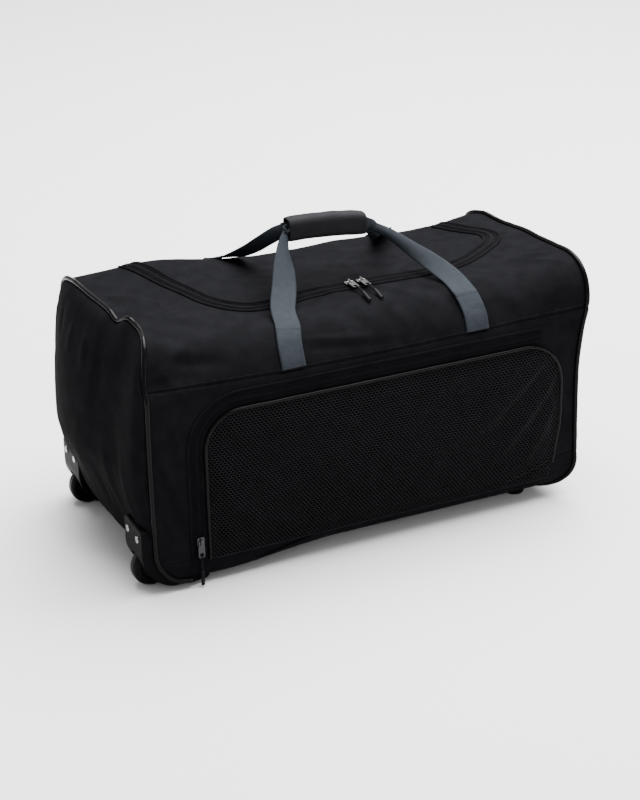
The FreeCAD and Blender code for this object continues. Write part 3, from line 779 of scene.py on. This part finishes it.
def make_flap():
    """The lift-up flap: one sheet from its zipper line back to its hinge, dipping a little at the hinge."""
    line = flap_outline()
    t = np.linspace(0, 1, 84)[:, None]
    hinge_x = np.linspace(line[0, 0], line[-1, 0], len(line))
    x = line[None, :, 0] + t * (hinge_x - line[:, 0])[None]
    a = line[None, :, 1] + t * (hinge_a - 9 - line[None, :, 1])
    points = lifted(x, a, -1.2 * ramp(t, 0.93, 1.0))
    obj = grid_object("flap_cloth", points, shell_cloth)
    thicken(obj, shell_thickness, inner=lining)
    bend_flap(obj)
    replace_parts(obj, "top_flap")


def bend_flap(obj):
    """Bake a flap piece's placement into its mesh; the hinge point at its back edge is worked out but not
    used.
    """
    hinge = surface(np.array([0.0]), np.array([hinge_a]))[0] * MM
    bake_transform(obj)


def make_base():
    """The flat underside between the rounded ends."""
    reach = half_length - corner_radius
    inner = half_depth - edge_radius - 15
    x, y = np.meshgrid(np.linspace(-reach - 2, reach + 2, 90), np.linspace(-inner, inner, 50))
    sag = 0.5 * noise(x, y, 0 * x, 60, 9)
    beyond = np.clip(np.abs(y) - half_depth + tuck_radius, 0, 44)
    rise = ramp(x, tuck_start, tuck_full) * (tuck_radius - np.sqrt(tuck_radius ** 2 - beyond ** 2))
    points = np.stack([taper(x, 0 * x), y, bag_bottom + 0.3 + np.abs(sag) + rise], -1)
    obj = shell_panel("base_cloth", points, flip=True)
    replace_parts(obj, "base_panel")


def rim_path(side):
    """The sewn edge of an end, from under the front corner, over the top, to the back corner."""
    count = 420
    low_a = wall_a(rim_z)
    low = np.linspace(0, math.pi / 2, 40)[:-1]
    x_low = half_length - corner_radius * (1 - np.sin(low))
    z_low = rim_z - corner_radius * np.cos(low)
    front = np.stack([side * x_low, np.full_like(x_low, -half_depth), z_low], 1)
    a = np.linspace(low_a, -low_a, count)
    middle = surface(np.full(count, side * half_length), a)
    share = ramp(front[:, 0], tuck_start, tuck_full)
    depth = np.clip(bag_bottom + tuck_radius - z_low, 0, tuck_radius)
    front[:, 1] += share * (tuck_radius - np.sqrt(tuck_radius ** 2 - depth ** 2))
    front[:, 0] = taper(front[:, 0], front[:, 2])
    back = front[::-1].copy()
    back[:, 1] *= -1
    return resample(np.concatenate([front, middle, back]), 2.5)


def at(curve, where):
    """Points of a curve in space at shares of its length."""
    index = np.linspace(0, 1, len(curve))
    return np.stack([np.interp(where, index, curve[:, k]) for k in range(3)], 1)


def stretched(rim, s, t):
    """A flat-floored sheet stretched across a rim: s runs from front to back, t from floor to top."""
    corner = int(np.argmin(np.abs(rim[:, 2] - (bag_top - 22)) + 1000 * (rim[:, 1] > 0)))
    side_low = at(rim[: corner + 1], t)
    side_high = at(rim[::-1][: corner + 1], t)
    floor = side_low[0] + s[:, None] * (side_high[0] - side_low[0])
    roof = at(rim[corner: len(rim) - corner], s)
    grid = side_low[:, None] * (1 - s)[None, :, None] + side_high[:, None] * s[None, :, None]
    grid = grid + floor[None] * (1 - t)[:, None, None] + roof[None] * t[:, None, None]
    corners = (floor[0] * (1 - s)[:, None] + floor[-1] * s[:, None])[None] * (1 - t)[:, None, None]
    corners = corners + (roof[0] * (1 - s)[:, None] + roof[-1] * s[:, None])[None] * t[:, None, None]
    return grid - corners


def make_end(name, side, bulge, cad_panel):
    """An end panel: stretched across its piping and swollen outward, with pulled folds."""
    rim = rim_path(side)
    share = np.linspace(0, 1, 150)
    grid = stretched(rim, share, share)
    ss, tt = np.meshgrid(share, share)
    full = np.clip(np.sin(math.pi * ss), 0, 1) ** 0.42 * np.clip(np.sin(math.pi * tt), 0, 1) ** 0.5
    if side < 0:
        full = full * (0.42 + 0.58 * ramp(grid[..., 2], 60, 200)) * (1 - 0.25 * bump(grid[..., 1], -90, 90))
    y, z = grid[..., 1], grid[..., 2]
    push = bulge * full
    creases = [
        ((-178, 60), (-120, 230), 14, 5), ((-150, 110), (-112, 250), 10, -4),
        ((-90, 100), (-75, 240), 13, 5), ((-40, 80), (-45, 190), 12, -4), ((20, 70), (5, 180), 14, 4),
        ((80, 75), (70, 200), 14, 4), ((-32, 392), (-60, 300), 12, -5), ((10, 392), (-5, 310), 10, 4),
        ((60, 396), (52, 320), 9, 3), ((120, 398), (96, 330), 9, -3), ((160, 392), (176, 260), 9, 4),
        ((-120, 375), (-85, 320), 10, -3),
    ]
    folds = add_folds(0.0, y, z, creases)
    folds = folds + 1.6 * noise(y, z, 0 * y, 60, 5) + 0.7 * noise(y, z, 0 * y, 25, 6)
    edge = np.minimum(np.minimum(ss, 1 - ss) * 9, np.minimum(tt, 1 - tt) * 9)
    push = push + 0.6 * folds * np.clip(edge, 0, 1)
    grid[..., 0] += side * push
    obj = shell_panel(name, grid, flip=side < 0)
    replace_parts(obj, cad_panel)
    cord = rim.copy()
    centre = np.array([0, 0, 210.0])
    away = cord - centre
    away[:, 0] = 0
    away /= np.linalg.norm(away, axis=1, keepdims=True)
    cord = cord + away * 1.5
    cord[:, 0] += side * 2.0
    return cord


def make_shell():
    """All the cloth panels of the body, and the piping of both ends."""
    front = make_wall("front_wall", 1)
    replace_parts(front, "front_panel")
    back = make_wall("back_wall", -1)
    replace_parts(back, "back_panel")
    top = make_top()
    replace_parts(top, "top_front_panel", "top_wheel_side_panel", "top_far_side_panel")
    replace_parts(make_top_back(), "top_back_panel")
    make_flap()
    make_base()
    for name, side, bulge in (("wheel_end", -1, 65), ("far_end", 1, 13)):
        cord = make_end(name + "_cloth", side, bulge, name + "_panel")
        piping = tube_object(name + "_piping_vinyl", cord, 4.0, vinyl, wobble=0.08, seed=3)
        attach(piping, "bag")
        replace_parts(piping, name + "_piping")


# ------------------------------------------------------------------ zippers


def tape_edge(across):
    """A zipper tape's outer edge dips into the cloth beside it."""
    return -0.9 * ramp(np.abs(across), 9, 13)


def band(name, line, inward, low, high, height, material):
    """A strip beside a zipper line, from low to high millimetres to one side of it."""
    u = np.linspace(low, high, 9)[:, None]
    x = line[None, :, 0] + inward[None, :, 0] * u
    a = line[None, :, 1] + inward[None, :, 1] * u
    points = lifted(x, a, height + tape_edge(u))
    return grid_object(name, points, material, flip=high < low)


def ridge(name, line, inward, at, radius, material, height=0.0):
    """A rounded cloth edge beside a zipper line."""
    x = line[:, 0] + inward[:, 0] * at
    a = line[:, 1] + inward[:, 1] * at
    points = lifted(x, a, height)
    return tube_object(name, resample(points, 3.0), radius, material, 10, wobble=0.10, seed=at)


coil_pitch = 1.9


def teeth(name, line, side, height, material):
    """The coil's turns on one side of the zipper line, one small rounded bar each."""
    dense = resample(line, coil_pitch / 2)
    first = 0 if side > 0 else 1
    middle = dense[first::2]
    normal = path_normals(dense)[first::2]
    along = np.stack([-normal[:, 1], normal[:, 0]], 1)
    points = []
    for u, rise in ((-0.6, 0.5), (0.4, 1.6), (1.9, 1.7), (2.8, 0.3)):
        for v in (-0.55, 0.0, 0.55):
            place = middle + normal * (u * side) + along * v
            top = height + rise + (0.35 if v == 0 else 0.0)
            points.append(lifted(place[:, 0], place[:, 1], top))
    points = np.stack(points, 1)
    count = len(middle)
    faces = []
    for k in range(count):
        base = k * 12
        for i in range(3):
            for j in range(2):
                c = base + i * 3 + j
                faces.append((c, c + 1, c + 4, c + 3) if side < 0 else (c, c + 3, c + 4, c + 1))
    return make_object(name, points.reshape(-1, 3), faces, material)


def make_flap_zipper():
    """Tapes, coils and folded cloth edges on both sides of the flap's opening."""
    line = flap_outline()
    normal = path_normals(line)
    inner = line[3:-3]
    inner_normal = normal[3:-3]
    for side, owner, tape_node, coil_node in ((-1, "bag", "bag_zip_tape", "bag_zip_coil"),
                                              (1, "flap", "flap_zip_tape", "flap_zip_coil")):
        tape = band(owner + "_tape", inner, inner_normal, side * 0.3, side * 13, 1.5, tape_cloth)
        coil = teeth(owner + "_coil", inner, side, 1.0, coil_plastic)
        lip = ridge(owner + "_zip_lip", inner, inner_normal, side * 13.4, 2.6, shell_cloth, 0.6)
        rib = ridge(owner + "_tape_rib", inner, inner_normal, side * 5.2, 0.9, tape_cloth, 1.7)
        rib_out = ridge(owner + "_tape_rib_out", inner, inner_normal, side * 8.6, 0.9, tape_cloth, 1.5)
        for obj in (tape, coil, lip, rib, rib_out):
            if owner == "bag":
                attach(obj, "bag")
            else:
                bend_flap(obj)
        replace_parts(tape, tape_node)
        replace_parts(coil, coil_node)


# ------------------------------------------------------------------ front pocket

pocket_left = mesh_low.x
pocket_right = mesh_high.x
pocket_top = mesh_high.z
pocket_bottom = mesh_low.z
pocket_corners = [(pocket_left, pocket_bottom), (pocket_left, pocket_top), (pocket_right, pocket_top),
                  (pocket_right, 150), (pocket_right - 22, pocket_bottom)]


def pocket_line(grow=0.0, step=2.5):
    """The pocket's sewn edge in (x, z), from bottom left over the top to bottom right."""
    line = rounded_path(pocket_corners, [0, 58, 78, 120, 0], step)
    return line - path_normals(line) * grow


def drape(x, z):
    """How the pocket's net stands out and folds: pulled from its top right corner."""
    rise = 2.0 + 6.0 * bump(x, 60, 240) * bump(z, 150, 80)
    pulls = [
        ((338, 288), (150, 150), 12, 5.0), ((300, 292), (60, 110), 15, 4.5),
        ((342, 240), (190, 90), 13, 4.5), ((345, 190), (250, 70), 12, 3.5),
        ((180, 292), (-60, 130), 18, 3.5), ((40, 292), (-150, 120), 20, 2.5),
        ((-284, 200), (-190, 60), 16, 3.0), ((-280, 120), (-230, 50), 12, 3.0),
        ((-286, 260), (-120, 150), 16, -2.0),
    ]
    rise = add_folds(rise, x, z, pulls) + 0.6 * noise(x, z, 0 * x, 40, 11)
    return np.maximum(rise, 0.8)


def pocket_edge_share(x, z):
    """Zero at the pocket's sewn edge, one well inside it."""
    line = pocket_line(0.0, 6.0)
    nearest = np.full(np.shape(x), 1e9)
    for px, pz in line:
        nearest = np.minimum(nearest, (x - px) ** 2 + (z - pz) ** 2)
    away = np.minimum(np.sqrt(nearest), z - pocket_bottom)
    return ramp(away, 0, 30)


def pocket_points(x, z, lift):
    """Points of the pocket's cloth at (x, z), lifted by lift."""
    return lifted(x, wall_a(z), 2.4 + drape(x, z) * pocket_edge_share(x, z) + lift)


def pocket_span(z):
    """The pocket's left and right limits at height z."""
    line = pocket_line(0.0, 1.5)
    top = int(np.argmax(line[:, 1]))
    last = len(line) - 1 - int(np.argmax(line[::-1, 1]))
    left = np.interp(z, line[: top + 1, 1], line[: top + 1, 0])
    right_line = line[last:][::-1]
    right = np.interp(z, right_line[:, 1], right_line[:, 0])
    return left, right


def make_pocket():
    """The mesh pocket: a knitted net with real openings over a dark backing, and its piping."""
    s, t = np.meshgrid(np.linspace(0, 1, 150), np.linspace(0, 1, 70))
    z = pocket_bottom + t * (pocket_top - pocket_bottom)
    left, right = pocket_span(z)
    x = left + s * (right - left)
    backing = grid_object("pocket_backing", pocket_points(x, z, -0.6), net_backing)
    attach(backing, "bag")
    pitch, row = 6.4, 4.1
    rows = int((pocket_top - pocket_bottom) / row)
    columns = int((pocket_right - pocket_left) / pitch) + 1
    corners = {}
    places = []
    faces = []
    for r in range(rows + 1):
        zc = pocket_bottom + r * row
        low, high = pocket_span(np.array(zc))
        for c in range(columns + 1):
            xc = pocket_left + (c + 0.5 * (r % 2)) * pitch
            if xc < low + 1 or xc > high - 1:
                continue
            cell = []
            for dx, dz in ((-3, 1), (-3, -1), (0, -2), (3, -1), (3, 1), (0, 2)):
                key = (round(2 * c + r % 2 + dx / 3), 3 * r + dz)
                if key not in corners:
                    corners[key] = len(places)
                    places.append((xc + dx * pitch / 6, zc + dz * row / 3))
                cell.append(corners[key])
            faces.append(cell)
    places = np.array(places)
    net_x = np.clip(places[:, 0], *pocket_span(places[:, 1]))
    net_z = np.clip(places[:, 1], pocket_bottom, pocket_top)
    net = make_object("pocket_net", pocket_points(net_x, net_z, 0.6), faces, net_cloth)
    wire = net.modifiers.new("strands", "WIREFRAME")
    wire.thickness = 1.15 * MM
    wire.use_even_offset = False
    wire.use_boundary = True
    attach(net, "bag")
    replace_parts(net, "pocket_mesh_panel")
    edge = pocket_line(3.2)[:-12]
    points = lifted(edge[:, 0], wall_a(edge[:, 1]), 2.4)
    piping = tube_object("pocket_piping_vinyl", resample(points, 2.5), 3.0, vinyl, 12, 0.07, 8)
    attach(piping, "bag")
    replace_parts(piping, "pocket_piping")
    hem_x = np.linspace(pocket_left - 4, pocket_right - 27, 200)
    points = lifted(hem_x, wall_a(np.full(200, pocket_bottom + 0.5)), 1.5)
    lower = tube_object("pocket_hem", points, 1.7, shell_cloth, 8, 0.15, 4)
    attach(lower, "bag")


def make_pocket_zipper():
    """The pocket's zipper, up its left side and along its top."""
    reach = 19.5
    zip_left = pocket_left - reach
    zip_top = pocket_top + reach
    corners = [(zip_left, pocket_bottom + 4), (zip_left, zip_top), (302, zip_top)]
    line = rounded_path(corners, [0, 58 + reach, 0], 2.5)
    line[:, 1] = wall_a(line[:, 1])
    normal = path_normals(line)
    sides = ((1, "outer", "pocket_zip_tape_outer"), (-1, "inner", "pocket_zip_tape_inner"))
    for side, word, tape_node in sides:
        tape = band("pocket_tape_" + word, line, normal, side * 0.3, side * 13, 1.4, tape_cloth)
        coil = teeth("pocket_coil_" + word, line, side, 1.0, coil_plastic)
        rib = ridge("pocket_rib_" + word, line, normal, side * 6.6, 0.8, tape_cloth, 1.5)
        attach(tape, "bag")
        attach(rib, "bag")
        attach(coil, "bag")
        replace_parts(tape, tape_node)
        if word == "outer":
            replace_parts(coil, "pocket_zip_coil")
            lip = ridge("pocket_zip_lip", line, normal, side * 13.4, 2.0, shell_cloth, 0.4)
            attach(lip, "bag")


# ------------------------------------------------------------------ handles

# Each handle leg's free stations: x, distance from the middle, height, twist, width and cupping.
legs = {
    ("front", "left"): [
        (-124, 120, 409.5, 6, 40, 0.5), (-105, 84, 427, 12, 41, 1.5), (-89, 54, 449, 26, 40, 4.0),
        (-75, 27, 471, 54, 30, 7.0), (-64, 9, 485, 80, 19, 5.0),
    ],
    ("front", "right"): [
        (173, 120, 409.5, 8, 37, 0.5), (157, 84, 425, 24, 31, 2.0), (136, 54, 441, 46, 23, 4.0),
        (112, 27, 459, 68, 17, 5.0), (91, 9, 470, 84, 15, 4.0),
    ],
    ("back", "left"): [
        (-108, 120, 411, 10, 36, 0.5), (-91, 84, 432, 26, 31, 2.0), (-79, 54, 454, 46, 27, 4.0),
        (-70, 27, 474, 66, 24, 5.0), (-64, 9, 486, 84, 21, 4.0),
    ],
    ("back", "right"): [
        (166, 120, 408.5, 8, 38, 0.5), (146, 84, 417, 22, 32, 2.0), (128, 54, 429, 42, 28, 4.0),
        (108, 27, 447, 64, 19, 5.0), (90, 9, 463, 82, 16, 4.0),
    ],
}
grip_left_z = 490.0
grip_right_z = 479.0
strap_apart = 4.3
webbing_thickness = 2.2


def spline(points, count):
    """A smooth curve through the points, evenly sampled."""
    points = np.asarray(points, float)
    padded = np.concatenate([2 * points[:1] - points[1:2], points, 2 * points[-1:] - points[-2:-1]])
    out = []
    for i in range(len(points) - 1):
        p0, p1, p2, p3 = padded[i: i + 4]
        for t in np.linspace(0, 1, 12, endpoint=False):
            out.append(0.5 * (2 * p1 + (p2 - p0) * t + (2 * p0 - 5 * p1 + 4 * p2 - p3) * t ** 2
                              + (3 * p1 - p0 - 3 * p2 + p3) * t ** 3))
    out.append(points[-1])
    out = np.array(out)
    index = np.linspace(0, len(out) - 1, count)
    return np.stack([np.interp(index, np.arange(len(out)), out[:, k]) for k in range(out.shape[1])], 1)


def strap_stations(word, side):
    """Centre, width direction, width and cupping at points along one handle's webbing."""
    rows = []
    for end, x_root in (("left", strap_left_x), ("right", strap_right_x)):
        leg = legs[word, end]
        part = []
        for a in (222, 212, 200, 188, 176, 165, 154):
            lift = 1.9 + 1.6 * float(ramp(190 - a, 0, 40))
            x = x_root + (leg[0][0] - x_root) * float(ramp(200 - a, 0, 90))
            p = lifted(np.array([x]), np.array([side * float(a)]), np.array([lift]))
            part.append((*p[0], 0.0, webbing_width, 0.0))
        for x, away, z, twist, width, cup in leg:
            part.append((x, -away * side, z, twist, width, cup))
        inner_x, inner_z = (-54, grip_left_z) if end == "left" else (68, grip_right_z)
        part.append((inner_x, -strap_apart * side, inner_z, 90, 22, 1.0))
        rows.append(part)
    left, right = rows
    right = [(x, y, z, 180 - twist, width, cup) for x, y, z, twist, width, cup in right][::-1]
    return np.array(left + right, float)


def ribbon(name, stations, material):
    """Webbing through the stations; its width turns with them and its edges cup a little."""
    data = spline(stations, 330)
    centre = data[:, :3]
    tangent = path_tangents(centre)
    twist = np.radians(data[:, 3])[:, None]
    wide = np.array([1.0, 0, 0]) * np.cos(twist) + np.array([0, 0, -1.0]) * np.sin(twist)
    wide -= tangent * np.sum(wide * tangent, 1, keepdims=True)
    wide /= np.linalg.norm(wide, axis=1, keepdims=True)
    face = np.cross(tangent, wide)
    s = np.linspace(-1, 1, 13)
    points = centre[:, None] + wide[:, None] * (s[None, :, None] * data[:, 4][:, None, None] / 2)
    points = points + face[:, None] * ((s ** 2)[None, :, None] * data[:, 5][:, None, None])
    along = np.concatenate([[0], np.cumsum(np.linalg.norm(np.diff(centre, axis=0), axis=1))])
    uv = np.stack(np.meshgrid(s * webbing_width / 2, along), -1)
    obj = grid_object(name, points, material, uv=uv)
    thicken(obj, webbing_thickness, offset=0.0)
    return obj


def make_handles():
    """The two webbing loops, from their sewn roots up to the grip."""
    for side, word, y_sign in ((1, "front", -1), (-1, "back", 1)):
        stations = strap_stations(word, side)
        strap = ribbon("webbing_" + word, stations, webbing)
        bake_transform(strap)
        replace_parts(strap, "handle_loop_" + word, "strap_root_left_" + word, "strap_root_right_" + word)


def make_grip():
    """The padded grip: cloth wrapped round the front strap, open behind for the back strap."""
    left_x, right_x = grip_low.x - 1, grip_high.x - 9
    half_z, front_y, back_y = 17.0, -14.0, 10.0
    outline = [(back_y, 6), (back_y, half_z), (front_y, half_z)]
    outline = outline + [(y, -z) for y, z in reversed(outline)]
    profile = rounded_path(outline, [0, 6.5, 7.5, 7.5, 6.5, 0], 1.8)
    xs = np.linspace(left_x, right_x, 90)
    share = (xs - left_x) / (right_x - left_x) * 2 - 1
    rows = []
    for x, u in zip(xs, share):
        size = 1 - 0.06 * abs(u) ** 8
        middle_z = grip_left_z + (grip_right_z - grip_left_z) * (u + 1) / 2 + 3.2 * (1 - u * u) + 1.0
        y = profile[:, 0] * size
        z = middle_z + profile[:, 1] * size
        soft = 0.6 * noise(np.full_like(y, x), y, z, 18, 21)
        away = np.sign(profile)
        rows.append(np.stack([np.full_like(y, x), y + soft * away[:, 0], z + soft * away[:, 1]], 1))
    wrap = grid_object("grip_cover", np.array(rows), grip_cloth, flip=True)
    thicken(wrap, 2.4, offset=-1.0)
    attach(wrap, "front_handle")
    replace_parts(wrap, "grip_wrap", "grip_padding")
    seams = []
    count = len(profile)
    first, last = int(count * 0.22), int(count * 0.78)
    for index in (int(count * 0.30), int(count * 0.66)):
        seams.append(np.array([row[index] for row in rows])[4:-4])
    for at in (5, 84):
        seams.append(rows[at][first: last])
    for i, path in enumerate(seams):
        push = path.copy()
        push[:, 1] -= 0.35
        stitch = stitch_line("grip_stitch_%d" % i, push, thread, 3.4, 0.42)
        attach(stitch, "front_handle")
    centre = rows[44][first: last].copy()
    centre[:, 1] -= 0.2
    joint = tube_object("grip_seam", resample(centre, 2.0), 0.55, slate_thread, 8)
    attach(joint, "front_handle")


# ------------------------------------------------------------------ stitching


def stitch_line(name, path, material, pitch=3.6, radius=0.4):
    """A row of separate stitches along a path, each a short rounded thread."""
    path = resample(path, pitch / 6)
    side, up = sweep_frames(path)
    points = []
    faces = []
    for k in range(3, len(path) - 3, 6):
        base = len(points)
        for j, size in ((-2, 0.35), (-1, 1.0), (1, 1.0), (2, 0.35)):
            for turn in range(5):
                angle = 2 * math.pi * turn / 5
                ring = side[k] * math.cos(angle) + up[k] * math.sin(angle)
                points.append(path[k + j] + ring * radius * size)
        for j in range(3):
            ring_base = base + j * 5
            for turn in range(5):
                n = (turn + 1) % 5
                faces.append((ring_base + turn, ring_base + n, ring_base + 5 + n, ring_base + 5 + turn))
        faces.append(tuple(base + t for t in range(5)))
        faces.append(tuple(base + 15 + t for t in range(5)))
    return make_object(name, points, faces, material)


stitch_inset = 5.0
stitch_lift = 0.25


def make_stitching():
    """Rows of stitches beside the seams and across the strap roots."""
    x = np.linspace(-half_length + 8, half_length - 8, 500)
    for word, sign in (("front", 1), ("back", -1)):
        for name, seam in (("seam_stitches_", seam_a), ("low_stitches_", low_seam_a)):
            points = lifted(x, sign * (seam(x) - stitch_inset), stitch_lift)
            row = stitch_line(name + word, points, thread)
            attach(row, "bag")
        for x_root in (strap_left_x, strap_right_x):
            half = webbing_width / 2 - 2.5
            lines = []
            for a_row in (218, 214, 186, 182):
                xs = np.linspace(x_root - half, x_root + half, 24)
                lines.append((xs, np.full_like(xs, sign * float(a_row))))
            for edge in (-half, half):
                a_rows = np.linspace(182, 222, 24)
                lines.append((np.full_like(a_rows, x_root + edge), sign * a_rows))
            for i, (xs, a_rows) in enumerate(lines):
                points = lifted(xs, a_rows, 3.25)
                tag = "%s_%s_%d" % (word, "left" if x_root < 0 else "right", i)
                row = stitch_line("strap_stitches_" + tag, points, slate_thread, 3.0, 0.45)
                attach(row, "bag")


# ------------------------------------------------------------------ hard parts


def dress(words, material):
    """Give every shown CAD node whose name holds one of the words a material."""
    for name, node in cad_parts.items():
        if any(word in name for word in words):
            node.data.materials.clear()
            node.data.materials.append(material)


def make_hardware():
    """Materials for the parts that keep their CAD shapes."""
    dress(["main_slider", "main_puller"], nickel)
    dress(["pocket_slider", "pocket_puller"], gunmetal)
    dress(["pull_end"], pull_rubber)
    dress(["wheel_housing"], housing_plastic)
    dress(["housing_backing"], steel)
    dress(["wheel_tyre"], tyre_rubber)
    dress(["wheel_core"], wheel_plastic)
    dress(["wheel_axle", "wheel_bearings", "foot_screws"], steel)
    dress(["rivets"], nickel)
    dress(["foot_front", "foot_back"], housing_plastic)
    dress(["pull_handle"], webbing)
    dress(["base_board"], board)


make_camera()
pull_cords()
make_stage()
make_shell()
make_flap_zipper()
make_pocket()
make_pocket_zipper()
make_handles()
make_grip()
make_stitching()
make_hardware()
